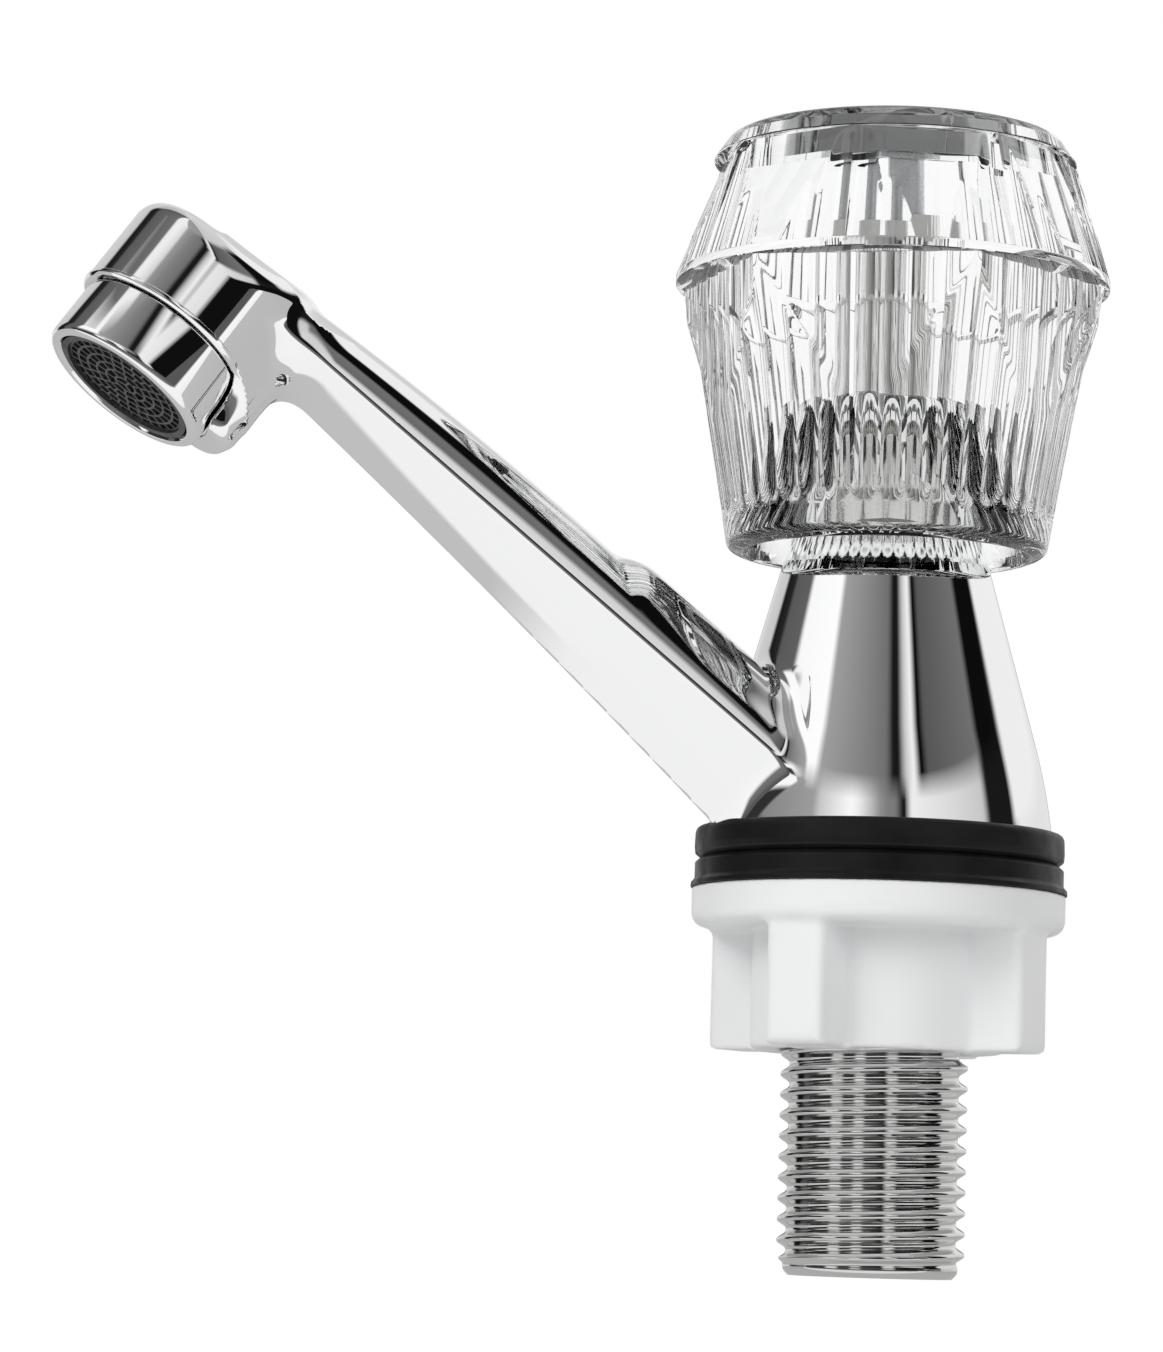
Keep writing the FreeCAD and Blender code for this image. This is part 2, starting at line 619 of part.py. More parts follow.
def aerator_insert():
    """Plastic cup that carries the jet plate, the screens and the outlet grid."""
    cup = outlet_tube(INSERT_OUT_R, INSERT_IN_R, INSERT_END_V, INSERT_TOP_V)
    feet = (GRID_V + GRID_T, SCREEN_V - LEDGE_T, JET_V - LEDGE_T)
    ledges = [outlet_tube(INSERT_IN_R + 0.3, INSERT_IN_R - 0.7, v, v + LEDGE_T) for v in feet]
    return cup.fuse(ledges)


def web_disc(v0, v1, rows, bar):
    """Open disc of rings joined by short staggered bars, each row as (outer radius, bars)."""
    rim = INSERT_IN_R - FIT
    pieces = [outlet_tube(rim, rim - bar, v0, v1)]
    inner = 0.0
    for row, (outer, bars) in enumerate(rows):
        if outer < rim - bar:
            pieces.append(outlet_tube(outer + bar / 2, outer - bar / 2, v0, v1))
        for k in range(bars):
            length = min(outer, rim - bar / 2) - inner
            spoke = Part.makeBox(length, bar, v1 - v0, V(inner, -OUTLET_S - bar / 2, v0))
            spoke.rotate(V(0, -OUTLET_S, 0), Z_AXIS, 360.0 * (k + 0.5 * (row % 2)) / bars)
            pieces.append(spoke)
        inner = outer
    return pieces[0].fuse(pieces[1:])


def drilled_disc(v0, thickness, rows, hole_r):
    """Disc with rows of round holes, each row as (radius, count)."""
    disc = outlet_rod(INSERT_IN_R - FIT, v0, v0 + thickness)
    holes = []
    for row_r, count in rows:
        hole = Part.makeCylinder(hole_r, thickness + 2, V(row_r, -OUTLET_S, v0 - 1))
        for k in range(count):
            holes.append(hole.rotated(V(0, -OUTLET_S, 0), Z_AXIS, 360.0 * k / count))
    return disc.cut(holes)


export(body_casting(), "body_casting")
export(threaded_tail(), "threaded_tail")
export(tail_seal(), "tail_seal_ring")
export(upper_gasket(), "upper_gasket")
export(lower_gasket(), "lower_gasket")
export(lock_nut(), "lock_nut")
export(valve_seat(), "valve_seat")
export(headwork_body(), "headwork_body")
export(headwork_washer(), "headwork_washer")
export(jumper_valve(), "jumper_valve")
export(jumper_washer(), "jumper_washer")
export(jumper_nut(), "jumper_nut")
export(spindle(), "spindle")
export(spindle_rings(), "spindle_seal_rings")
export(knob(), "knob")
export(knob_insert(), "knob_insert")
export(knob_screw_washer(), "knob_screw_washer")
export(knob_screw(), "knob_screw")
export(knob_cap(), "knob_cap")
export(tip(aerator_housing()), "aerator_housing")
export(tip(aerator_washer()), "aerator_washer")
export(tip(aerator_insert()), "aerator_insert")
export(tip(web_disc(GRID_V, GRID_V + GRID_T, GRID_ROWS, GRID_BAR)), "aerator_outlet_grid")
export(tip(drilled_disc(SCREEN_V, SCREEN_T, SCREEN_ROWS, 0.5)), "aerator_lower_screen")
export(tip(drilled_disc(SCREEN_V + SCREEN_STEP, SCREEN_T, SCREEN_ROWS, 0.5)), "aerator_upper_screen")
export(tip(drilled_disc(JET_V, JET_T, ((5.4, 16),), 0.45)), "aerator_jet_plate")
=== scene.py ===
import math

import bpy
import numpy as np
from mathutils import Matrix, Vector


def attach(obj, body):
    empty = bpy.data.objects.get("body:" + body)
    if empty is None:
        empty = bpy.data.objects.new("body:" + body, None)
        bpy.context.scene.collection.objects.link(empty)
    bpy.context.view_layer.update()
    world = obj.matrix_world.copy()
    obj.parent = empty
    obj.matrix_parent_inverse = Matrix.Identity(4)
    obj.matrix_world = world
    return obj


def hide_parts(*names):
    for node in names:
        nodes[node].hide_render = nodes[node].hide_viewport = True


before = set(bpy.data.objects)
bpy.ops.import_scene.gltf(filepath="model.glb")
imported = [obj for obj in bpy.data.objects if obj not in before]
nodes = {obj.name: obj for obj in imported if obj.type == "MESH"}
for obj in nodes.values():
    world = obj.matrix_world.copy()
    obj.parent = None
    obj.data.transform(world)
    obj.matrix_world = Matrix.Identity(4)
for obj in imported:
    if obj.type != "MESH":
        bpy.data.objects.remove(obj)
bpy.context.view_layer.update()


# Body casting: a hollow cone with a straight spout, an outlet collar and a chin behind it.
# It is cast in one piece, ground along the ridge lines of the spout and polished,
# then plated with bright chrome. The sizes below are millimetres in the tap's frame.
MM = 0.001
GASKET_TOP = 3.6
CONE_TOP = 39.0
CONE_R = 17.23
CONE_TAPER = 0.2787
FLARE_TOP = 13.9
FLARE = 0.00755
SPOUT_RISE = math.radians(35.6)
SPOUT_FOOT = -2.4
SPOUT_ROOT = 20.0
SPOUT_HALF = 8.8
KEEL_DEPTH = 6.0
KEEL_HALF = 2.5
CROWN_RISE = 7.9
CROWN_MIDDLE = 53.0
PAD_START = 43.0
PAD_HALF = 6.9
PAD_THICK = 6.7
OUTLET_S = 102.0
COLLAR_R = 10.3
COLLAR_FOOT = -7.2
HOUSING_R = 9.55
CHIN_BACK = 89.1
CHIN_FOOT = -13.2
CHIN_HALF = 4.8
CHIN_ROUND = 3.6


def skin(name, points, faces, normals=None, crease=None):
    """Mesh object from millimetre points; smooth, with sharp edges above a crease angle."""
    mesh = bpy.data.meshes.new(name)
    mesh.from_pydata((np.asarray(points) * MM).tolist(), [], [list(map(int, f)) for f in faces])
    mesh.validate()
    mesh.shade_smooth()
    if crease is not None:
        mesh.set_sharp_from_angle(angle=math.radians(crease))
    if normals is not None:
        mesh.normals_split_custom_set_from_vertices(np.asarray(normals).tolist())
    piece = bpy.data.objects.new(name, mesh)
    bpy.context.scene.collection.objects.link(piece)
    return piece


def soft_max(a, b, width):
    """Larger of two distances, rounded where they are close."""
    near = np.maximum(width - np.abs(a - b), 0.0) / width
    return np.maximum(a, b) + near * near * width / 4


def soft_min(a, b, width):
    """Smaller of two distances, rounded where they are close."""
    return -soft_max(-a, -b, width)


def crown_height(s):
    """Height of the spout's back over its ridge line, greatest near the middle."""
    return CROWN_RISE - 0.00132 * (s - CROWN_MIDDLE) ** 2


def spout_distance(x, s, v):
    """Spout section: half-ellipse above the ridge, flat sides and two keel facets below."""
    out = s - SPOUT_ROOT
    half = SPOUT_HALF - 0.0256 * out
    rise = crown_height(s)
    depth = KEEL_DEPTH - 0.0795 * out + 0.00033 * out ** 2
    side_x = np.abs(x)
    level = np.sqrt((x / half) ** 2 + (v / rise) ** 2) + 1e-6
    slope = np.sqrt((x / half ** 2) ** 2 + (v / rise ** 2) ** 2) / level + 1e-6
    crown = np.where(v > 0, (level - 1) / slope, side_x - half)
    run = half - KEEL_HALF
    side = ((side_x - half) * depth - v * run) / np.sqrt(run ** 2 + depth ** 2)
    keel = 0.85 * (-depth - depth / run * (1.73 - 0.785 * side_x) - v)
    section = soft_max(crown, soft_max(side, keel, 0.15), 0.35)
    nose = np.maximum(s - PAD_START, 0) / 7.0
    pad = (np.sqrt((x / PAD_HALF) ** 2 + ((v - 3.0) / PAD_THICK) ** 2 + nose ** 2) - 1) * PAD_THICK
    beam = soft_min(section, pad, 0.9)
    return np.maximum(beam, np.maximum(5.0 - s, s - OUTLET_S - 1.0))


def head_distance(x, s, v):
    """Collar round the outlet, capped by the crown, with the chin behind it."""
    around = np.sqrt(x ** 2 + (s - OUTLET_S) ** 2)
    arch = crown_height(s) * np.sqrt(np.maximum(1 - (x / 10.4) ** 2, 0.01))
    collar = soft_max(around - COLLAR_R, (v - arch) * 0.95, 1.6)
    across = np.abs(x) - CHIN_HALF + CHIN_ROUND
    behind = CHIN_BACK + CHIN_ROUND - s
    nose = np.sqrt(np.maximum(across, 0) ** 2 + np.maximum(behind, 0) ** 2) - CHIN_ROUND
    nose = nose + np.minimum(np.maximum(across, behind), 0)
    chin = np.maximum(soft_max(nose, CHIN_FOOT - v, 1.6), np.maximum(v - 1.0, s - OUTLET_S))
    socket = np.maximum(around - HOUSING_R - 0.2, v - COLLAR_FOOT)
    return np.maximum(collar, COLLAR_FOOT - v), chin, socket


def casting_distance(q):
    """Whole casting: cone, spout, collar and chin run together, less the aerator's socket."""
    x, s, v = q[..., 0], q[..., 1], q[..., 2]
    reach = s * math.cos(SPOUT_RISE) - v * math.sin(SPOUT_RISE)
    z = SPOUT_FOOT + s * math.sin(SPOUT_RISE) + v * math.cos(SPOUT_RISE)
    up = z - FLARE_TOP
    radius = CONE_R - CONE_TAPER * up - FLARE * np.minimum(up, 0) ** 2
    cone = soft_max((np.sqrt(x ** 2 + reach ** 2) - radius) * 0.963, z - CONE_TOP, 0.8)
    collar, chin, socket = head_distance(x, s, v)
    whole = soft_min(spout_distance(x, s, v), collar, 2.2)
    whole = soft_min(whole, chin, 4.5)
    whole = soft_min(whole, cone, 2.4)
    return np.maximum(soft_max(whole, -socket, 0.4), GASKET_TOP - 0.4 - z)


def gradient(field, points):
    """Slope of a distance at each point, from its values a little way off."""
    step = 0.02
    parts = []
    for axis in np.eye(3) * step:
        parts.append((field(points + axis) - field(points - axis)) / (2 * step))
    return np.stack(parts, -1)


def skin_of(field, low, high, step):
    """Even quads on the surface where a distance is zero, with the normals of the distance."""
    block = 4
    low = np.array(low, float)
    count = np.ceil((np.array(high) - low) / (step * block)).astype(int)
    corners = np.stack(np.meshgrid(*[np.arange(n) for n in count], indexing="ij"), -1)
    grid = field(low + step * (corners * block + (block - 1) / 2))
    near = np.abs(grid) < step * block * 1.3
    for axis in range(3):
        grid = np.repeat(grid, block, axis)
        near = np.repeat(near, block, axis)
    grid[near] = field(low + step * np.argwhere(near))
    inside = grid < 0
    size = np.array(grid.shape)
    total = sum(inside[a:size[0] - 1 + a, b:size[1] - 1 + b, c:size[2] - 1 + c].astype(np.int8)
                for a in (0, 1) for b in (0, 1) for c in (0, 1))
    cells = np.argwhere((total > 0) & (total < 8))
    number = np.full(tuple(size - 1), -1)
    number[tuple(cells.T)] = np.arange(len(cells))
    place = np.zeros((len(cells), 3))
    hits = np.zeros(len(cells))
    faces = []
    unit = np.eye(3, dtype=int)
    for axis in range(3):
        side, other = unit[(axis + 1) % 3], unit[(axis + 2) % 3]
        for offset in (0 * side, side, other, side + other):
            start = cells + offset
            a = grid[tuple(start.T)]
            b = grid[tuple((start + unit[axis]).T)]
            cross = (a < 0) != (b < 0)
            share = np.where(cross, a / np.where(cross, a - b, 1), 0)
            place += np.where(cross[:, None], start + share[:, None] * unit[axis], 0)
            hits += cross
        upper = np.take(inside, range(1, size[axis]), axis)
        lower = np.take(inside, range(size[axis] - 1), axis)
        edge = np.argwhere(upper != lower)
        edge = edge[np.all((edge > 0) & (edge < size - 1), axis=1)]
        quad = np.stack([number[tuple((edge - side - other).T)], number[tuple((edge - other).T)],
                         number[tuple(edge.T)], number[tuple((edge - side).T)]], -1)
        turned = inside[tuple(edge.T)]
        faces.append(np.where(turned[:, None], quad, quad[:, ::-1]))
    points = low + step * place / hits[:, None]
    for _ in range(4):
        slope = gradient(field, points)
        steep = np.sum(slope ** 2, -1, keepdims=True) + 1e-9
        points = points - field(points)[:, None] * slope / steep
    slope = gradient(field, points)
    return points, np.concatenate(faces), slope / np.linalg.norm(slope, axis=-1, keepdims=True)


def from_spout(q):
    """Points (x, along the ridge line, square to it) to the tap's frame."""
    q = np.asarray(q, float)
    reach = q[:, 1] * math.cos(SPOUT_RISE) - q[:, 2] * math.sin(SPOUT_RISE)
    height = SPOUT_FOOT + q[:, 1] * math.sin(SPOUT_RISE) + q[:, 2] * math.cos(SPOUT_RISE)
    return np.stack([q[:, 0], -reach, height], -1)


def turn_vector(n):
    """Directions in the spout's frame to the tap's frame."""
    along, square = n[:, 1], n[:, 2]
    reach = along * math.cos(SPOUT_RISE) - square * math.sin(SPOUT_RISE)
    height = along * math.sin(SPOUT_RISE) + square * math.cos(SPOUT_RISE)
    return np.stack([n[:, 0], -reach, height], -1)


def soften(corners, parts=6):
    """Outline of (radius, height, rounding) corners with each rounding drawn as an arc."""
    out = []
    for i, (r, z, rounding) in enumerate(corners):
        here = np.array([r, z], float)
        if rounding == 0 or i in (0, len(corners) - 1):
            out.append(here)
            continue
        before = np.array(corners[i - 1][:2], float) - here
        after = np.array(corners[i + 1][:2], float) - here
        before /= np.linalg.norm(before)
        after /= np.linalg.norm(after)
        half = math.acos(np.clip(before @ after, -1, 1)) / 2
        back = rounding / math.tan(half)
        start, end = here + before * back, here + after * back
        for k in range(parts + 1):
            t = k / parts
            out.append((1 - t) ** 2 * start + 2 * t * (1 - t) * here + t ** 2 * end)
    return np.array(out)


def turned_skin(name, corners, steps=160, outlet=False, parts=6, crease=32):
    """Turned piece: an outline swept round the tap's axis, or round the outlet's axis."""
    outline = soften(corners, parts)
    angle = np.arange(steps) * 2 * math.pi / steps
    r, z = outline[:, 0][:, None], outline[:, 1][:, None]
    points = np.stack([r * np.cos(angle), r * np.sin(angle), z + 0 * angle], -1).reshape(-1, 3)
    if outlet:
        shifted = np.stack([points[:, 0], OUTLET_S - points[:, 1], points[:, 2]], -1)
        points = from_spout(shifted)
    rows = np.arange(len(outline) - 1)[:, None] * steps
    column = np.arange(steps)[None, :]
    after = (column + 1) % steps
    faces = np.stack([rows + column, rows + after, rows + steps + after, rows + steps + column], -1)
    return skin(name, points, faces.reshape(-1, 4), crease=crease)


def join(pieces, name):
    """Welds several pieces into one object."""
    with bpy.context.temp_override(active_object=pieces[0], selected_editable_objects=pieces):
        bpy.ops.object.join()
    pieces[0].name = name
    pieces[0].data.name = name
    return pieces[0]


def maker(tree):
    """Three makers for a node tree: any node, a sum worked out on numbers, and a mix of two."""
    def add(kind, **values):
        node = tree.nodes.new(kind)
        for key, value in values.items():
            if key in node.inputs:
                node.inputs[key].default_value = value
            else:
                setattr(node, key, value)
        return node

    def fill(socket, value):
        if isinstance(value, bpy.types.NodeSocket):
            tree.links.new(value, socket)
        else:
            socket.default_value = value

    def figure(operation, *values):
        node = add("ShaderNodeMath", operation=operation)
        for socket, value in zip(node.inputs, values):
            fill(socket, value)
        return node.outputs[0]

    def blended(share, first, second, kind="RGBA"):
        node = add("ShaderNodeMix", data_type=kind)
        fill(node.inputs["Factor"], share)
        fill(node.inputs["A"], first)
        fill(node.inputs["B"], second)
        return node.outputs["Result"]

    return add, figure, blended


def shader(name):
    """New material: returns it with its links, its shader and a maker of nodes."""
    material = bpy.data.materials.new(name)
    material.use_nodes = True
    tree = material.node_tree
    return material, tree.links, tree.nodes["Principled BSDF"], maker(tree)[0]


def mottled(add, links, scale, low, high, detail=4.0, stretch=(1, 1, 1)):
    """Cloudy values between two limits, laid out in the object's own space."""
    place = add("ShaderNodeTexCoord")
    fit = add("ShaderNodeMapping", Scale=stretch)
    noise = add("ShaderNodeTexNoise", Scale=scale, Detail=detail)
    limits = add("ShaderNodeMapRange",
                 **{"From Min": 0.3, "From Max": 0.7, "To Min": low, "To Max": high})
    links.new(place.outputs["Object"], fit.inputs["Vector"])
    links.new(fit.outputs["Vector"], noise.inputs["Vector"])
    links.new(noise.outputs["Fac"], limits.inputs["Value"])
    return limits.outputs["Result"], noise.outputs["Fac"]


def relief(add, links, surface, height, strength, distance):
    """Fine unevenness that catches the light."""
    bump = add("ShaderNodeBump", Strength=strength, Distance=distance)
    links.new(height, bump.inputs["Height"])
    links.new(bump.outputs["Normal"], surface.inputs["Normal"])


def bright_chrome():
    """Mirror plating: faint clouding of the polish and a very slight waviness."""
    material, links, surface, add = shader("bright_chrome")
    surface.inputs["Base Color"].default_value = (0.935, 0.937, 0.94, 1)
    surface.inputs["Metallic"].default_value = 1
    haze, _ = mottled(add, links, 90, 0.012, 0.035)
    links.new(haze, surface.inputs["Roughness"])
    _, wave = mottled(add, links, 55, 0, 1, detail=1.0)
    relief(add, links, surface, wave, 0.05, 0.00025)
    return material


points, faces, normals = skin_of(casting_distance, (-20.6, -16.0, -21.0), (20.6, 114.5, 45.0),
                                 0.3)
cast = skin("body_casting_skin", from_spout(points), faces[:, ::-1], turn_vector(normals))
collar_rim = turned_skin("collar_rim", [
    (10.1, -6.7, 0), (10.42, -6.95, 0.08), (10.42, -7.35, 0.2),
    (10.1, -7.6, 0.1), (9.6, -7.6, 0.05), (9.6, -6.7, 0),
], outlet=True)
body = join([cast, collar_rim], "polished_body")
chrome = bright_chrome()
body.data.materials.clear()
body.data.materials.append(chrome)
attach(body, "base")
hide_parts("body_casting")


# Threaded tail: brass tube with a coarse right-hand pipe thread cut on it, screwed into the
# body's foot. Its plating is thinner and less bright than the body's, with fine marks
# left by the threading die. Its end is chamfered and its bore is open.
TAIL_R = 10.478
PITCH = 2.309
TAIL_BOTTOM = -46.3
TAIL_BORE_R = 6.5


def cut_thread(name, radius, low, high, chamfer):
    """Skin of a thread: rounded crests and roots that climb one pitch each turn."""
    columns = 160
    rows = int((high - low) / PITCH * (26))
    angle = np.arange(columns + 1) * 2 * math.pi / columns
    z = np.linspace(low, high, rows)[:, None]
    phase = (z - TAIL_BOTTOM) / PITCH - angle / (2 * math.pi)
    flank = np.abs((phase + 0.5) % 1.0 - 0.5) * 2
    depth = 1.0 * (0.5 - 0.5 * np.cos(math.pi * np.clip((flank - 0.10) / 0.80, 0, 1))) ** 0.85
    r = radius - depth
    lead = np.clip((z - low - 1.3) / 0.7, 0, 1)
    r = r * lead + (radius - chamfer) * (1 - lead)
    r = soft_min(r, radius - chamfer - 0.6 + (z - low), 0.3)
    points = np.stack([r * np.cos(angle), r * np.sin(angle), z + 0 * angle], -1).reshape(-1, 3)
    start = np.arange(rows - 1)[:, None] * (columns + 1)
    column = np.arange(columns)[None, :]
    faces = np.stack([start + column, start + column + 1, start + columns + 2 + column,
                      start + columns + 1 + column], -1)
    return skin(name, points, faces.reshape(-1, 4))


def plated_thread():
    """Thin bright plating over a cut thread: a little duller, with fine rings from the die."""
    material, links, surface, add = shader("plated_thread")
    surface.inputs["Base Color"].default_value = (0.72, 0.715, 0.71, 1)
    surface.inputs["Metallic"].default_value = 1
    haze, _ = mottled(add, links, 260, 0.03, 0.09, stretch=(1, 1, 6))
    links.new(haze, surface.inputs["Roughness"])
    _, rings = mottled(add, links, 900, 0, 1, detail=3.0, stretch=(0.15, 0.15, 4))
    relief(add, links, surface, rings, 0.25, 0.00003)
    return material


thread = cut_thread("thread", TAIL_R, TAIL_BOTTOM, 3.0, 0.73)
tail_end = turned_skin("tail_end", [
    (TAIL_R - 1.35, TAIL_BOTTOM + 0.01, 0), (TAIL_R - 1.6, TAIL_BOTTOM, 0.1), (6.9, TAIL_BOTTOM, 0),
    (TAIL_BORE_R, TAIL_BOTTOM + 0.5, 0.1), (TAIL_BORE_R, 8.5, 0),
])
tail = join([thread, tail_end], "tail_with_thread")
tail.data.materials.clear()
tail.data.materials.append(plated_thread())
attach(tail, "base")
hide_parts("threaded_tail")


# Rubber gaskets: two moulded black rings, one above and one below the basin's deck. The
# upper has a rounded top edge, the lower a thin lip where it flattens on the nut.
GASKET_R = 20.75
GASKET_BORE = 10.8


def black_rubber():
    """Moulded rubber: nearly black, satin, with fine grain and faint paler bloom."""
    material, links, surface, add = shader("black_rubber")
    surface.inputs["Specular IOR Level"].default_value = 0.3
    bloom, _ = mottled(add, links, 160, 0.0, 1.0)
    tint = add("ShaderNodeMix", data_type="RGBA")
    tint.inputs["A"].default_value = (0.003, 0.003, 0.003, 1)
    tint.inputs["B"].default_value = (0.008, 0.008, 0.008, 1)
    links.new(bloom, tint.inputs["Factor"])
    links.new(tint.outputs["Result"], surface.inputs["Base Color"])
    sheen, _ = mottled(add, links, 420, 0.34, 0.52)
    links.new(sheen, surface.inputs["Roughness"])
    _, grain = mottled(add, links, 2600, 0, 1, detail=2.0)
    relief(add, links, surface, grain, 0.3, 0.00004)
    return material


rubber = black_rubber()
upper = turned_skin("upper_gasket_ring", [
    (GASKET_BORE, 0.02, 0), (20.1, 0.02, 0), (GASKET_R, 0.55, 0.25), (20.82, 1.3, 0.5),
    (20.75, GASKET_TOP, 0.95), (GASKET_BORE, GASKET_TOP, 0), (GASKET_BORE, 0.02, 0),
])
lower = turned_skin("lower_gasket_ring", [
    (GASKET_BORE, -0.02, 0), (20.2, -0.02, 0), (GASKET_R, -0.5, 0.25), (GASKET_R, -2.3, 0.5),
    (21.15, -2.75, 0.25), (21.2, -3.28, 0.12), (GASKET_BORE, -3.28, 0), (GASKET_BORE, -0.02, 0),
])
for ring, body_name, node in ((upper, "base", "upper_gasket"), (lower, "seal", "lower_gasket")):
    ring.data.materials.append(rubber)
    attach(ring, body_name)
    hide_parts(node)


# Lock nut: white moulded plastic, a flange with a hub and four square lugs for the fingers.
# It is turned up the tail by hand to clamp the basin between the gaskets.
NUT_TOP = -3.3
NUT_BOTTOM = -21.2
NUT_BORE_R = 10.6
FLANGE_R = 21.0
FLANGE_FOOT = -7.7
HUB_R = 14.0
LUG_REACH = 19.8
LUG_HALF = 3.6
LUG_TURN = math.radians(-55.2)


def rounded_slab(across, up, half, low, high, edge):
    """Distance to a bar of rectangular section with rounded edges."""
    dx = np.abs(across) - half + edge
    dz = np.maximum(low - up, up - high) + edge
    outside = np.sqrt(np.maximum(dx, 0) ** 2 + np.maximum(dz, 0) ** 2)
    return outside + np.minimum(np.maximum(dx, dz), 0) - edge


def nut_distance(q):
    """Flange, hub and two crossed bars whose ends are the four lugs, less the bore."""
    x, y, z = q[..., 0], q[..., 1], q[..., 2]
    around = np.sqrt(x ** 2 + y ** 2)
    flange = soft_max(around - FLANGE_R, FLANGE_FOOT - z, 1.9)
    hub = soft_max(around - HUB_R, NUT_BOTTOM - z, 0.7)
    nut = soft_min(flange, hub, 0.6)
    a = x * math.cos(LUG_TURN) + y * math.sin(LUG_TURN)
    b = -x * math.sin(LUG_TURN) + y * math.cos(LUG_TURN)
    for reach, across in ((np.abs(a), b), (np.abs(b), a)):
        bar = rounded_slab(across, z, LUG_HALF, NUT_BOTTOM, -4.0, 0.45)
        lug = soft_max(bar, reach - LUG_REACH, 1.5)
        nut = soft_min(nut, lug, 0.8)
    nut = soft_max(nut, z - NUT_TOP + 0.01, 0.3)
    return soft_max(nut, NUT_BORE_R - around, 0.5)


def white_plastic():
    """Moulded white plastic: satin, slightly translucent, with a faint flow pattern."""
    material, links, surface, add = shader("white_plastic")
    surface.inputs["Subsurface Weight"].default_value = 0.15
    surface.inputs["Subsurface Radius"].default_value = (1.0, 1.0, 1.0)
    surface.inputs["Subsurface Scale"].default_value = 0.0012
    flow, _ = mottled(add, links, 45, 0.0, 1.0, detail=2.0)
    tint = add("ShaderNodeMix", data_type="RGBA")
    tint.inputs["A"].default_value = (0.88, 0.885, 0.89, 1)
    tint.inputs["B"].default_value = (0.85, 0.855, 0.86, 1)
    links.new(flow, tint.inputs["Factor"])
    links.new(tint.outputs["Result"], surface.inputs["Base Color"])
    sheen, _ = mottled(add, links, 300, 0.30, 0.42)
    links.new(sheen, surface.inputs["Roughness"])
    _, grain = mottled(add, links, 1500, 0, 1, detail=3.0)
    relief(add, links, surface, grain, 0.15, 0.00003)
    return material


points, faces, normals = skin_of(nut_distance, (-22.4, -22.4, -22.2), (22.4, 22.4, -2.0),
                                 0.36)
nut = skin("white_lock_nut", points, faces, normals)
nut.data.materials.append(white_plastic())
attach(nut, "nut")
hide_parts("lock_nut")


# Valve and headwork: turned brass pieces inside the body, with a rubber washer on the
# jumper, a grey fibre washer under the hexagon and rubber rings on the spindle.
def turned_brass():
    """Bare turned brass: fine rings from the lathe and slight darkening."""
    material, links, surface, add = shader("turned_brass")
    surface.inputs["Metallic"].default_value = 1
    dull, _ = mottled(add, links, 120, 0.0, 1.0)
    tint = add("ShaderNodeMix", data_type="RGBA")
    tint.inputs["A"].default_value = (0.80, 0.62, 0.33, 1)
    tint.inputs["B"].default_value = (0.62, 0.46, 0.23, 1)
    links.new(dull, tint.inputs["Factor"])
    links.new(tint.outputs["Result"], surface.inputs["Base Color"])
    gloss, _ = mottled(add, links, 500, 0.16, 0.32, stretch=(1, 1, 8))
    links.new(gloss, surface.inputs["Roughness"])
    _, rings = mottled(add, links, 1400, 0, 1, detail=2.0, stretch=(0.05, 0.05, 3))
    relief(add, links, surface, rings, 0.3, 0.00002)
    return material


def grey_fibre():
    """Vulcanised fibre: matt pale grey with short strands."""
    material, links, surface, add = shader("grey_fibre")
    strands, _ = mottled(add, links, 900, 0.0, 1.0, stretch=(1, 1, 5))
    tint = add("ShaderNodeMix", data_type="RGBA")
    tint.inputs["A"].default_value = (0.42, 0.42, 0.42, 1)
    tint.inputs["B"].default_value = (0.55, 0.55, 0.55, 1)
    links.new(strands, tint.inputs["Factor"])
    links.new(tint.outputs["Result"], surface.inputs["Base Color"])
    matt, _ = mottled(add, links, 700, 0.65, 0.85)
    links.new(matt, surface.inputs["Roughness"])
    return material


def refinish(names, material):
    """Gives carried-over CAD pieces their finish."""
    for name in names:
        nodes[name].data.materials.clear()
        nodes[name].data.materials.append(material)


brass = turned_brass()
refinish(("valve_seat", "jumper_valve", "jumper_nut"), brass)
refinish(("tail_seal_ring", "jumper_washer", "spindle_seal_rings", "aerator_washer"),
         rubber)
refinish(("headwork_washer",), grey_fibre())


# Knob: clear acrylic moulded in one piece, with a faceted crown, a girdle and a fluted
# skirt, hollow below. A disc plated in dark chrome plugs its top and hides the fixing screw.
def clear_acrylic():
    """Clear acrylic: polished outside, a trace of haze from the mould."""
    material, links, surface, add = shader("clear_acrylic")
    surface.inputs["Base Color"].default_value = (0.985, 0.99, 0.99, 1)
    surface.inputs["Transmission Weight"].default_value = 1
    surface.inputs["IOR"].default_value = 1.49
    haze, _ = mottled(add, links, 130, 0.0, 0.008)
    links.new(haze, surface.inputs["Roughness"])
    return material


def bright_nickel():
    """Nickel plating over turned brass: bright, with the rings of the lathe showing through."""
    material, links, surface, add = shader("bright_nickel")
    surface.inputs["Base Color"].default_value = (0.78, 0.775, 0.76, 1)
    surface.inputs["Metallic"].default_value = 1
    haze, _ = mottled(add, links, 300, 0.04, 0.11)
    links.new(haze, surface.inputs["Roughness"])
    _, rings = mottled(add, links, 1200, 0, 1, detail=2.0, stretch=(0.05, 0.05, 3))
    relief(add, links, surface, rings, 0.2, 0.00002)
    return material


